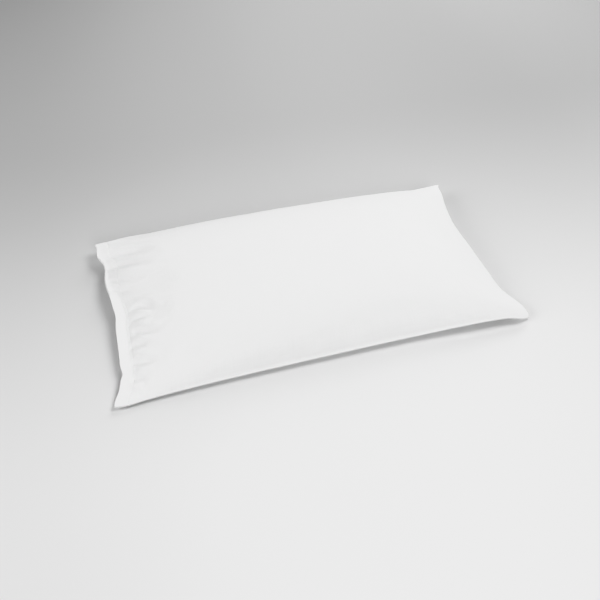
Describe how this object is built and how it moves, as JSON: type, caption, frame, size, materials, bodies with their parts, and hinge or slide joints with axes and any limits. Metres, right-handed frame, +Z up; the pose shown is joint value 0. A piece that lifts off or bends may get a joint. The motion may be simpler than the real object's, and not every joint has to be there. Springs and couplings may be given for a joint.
{
  "type": "pillowcase",
  "caption": "Plain white cotton pillowcase rounded out by its pillow and lying flat, with a crowned top, drawn-in edges, pointed corners and a puckered hem at the open end.",
  "frame": {"origin": "on the surface that the case lies on, under the middle of its bounding box", "axes": "+X runs along the case to the closed end, -X to the open end with the hem, +Y to the back seam, -Y to the front seam, +Z up out of the crown"},
  "size_m": [0.774, 0.4008, 0.101],
  "materials": {
    "white_cotton": "matte, smooth, fine plain weave"
  },
  "bodies": {
    "root": {"pillowcase": "white_cotton"}
  },
  "joints": []
}
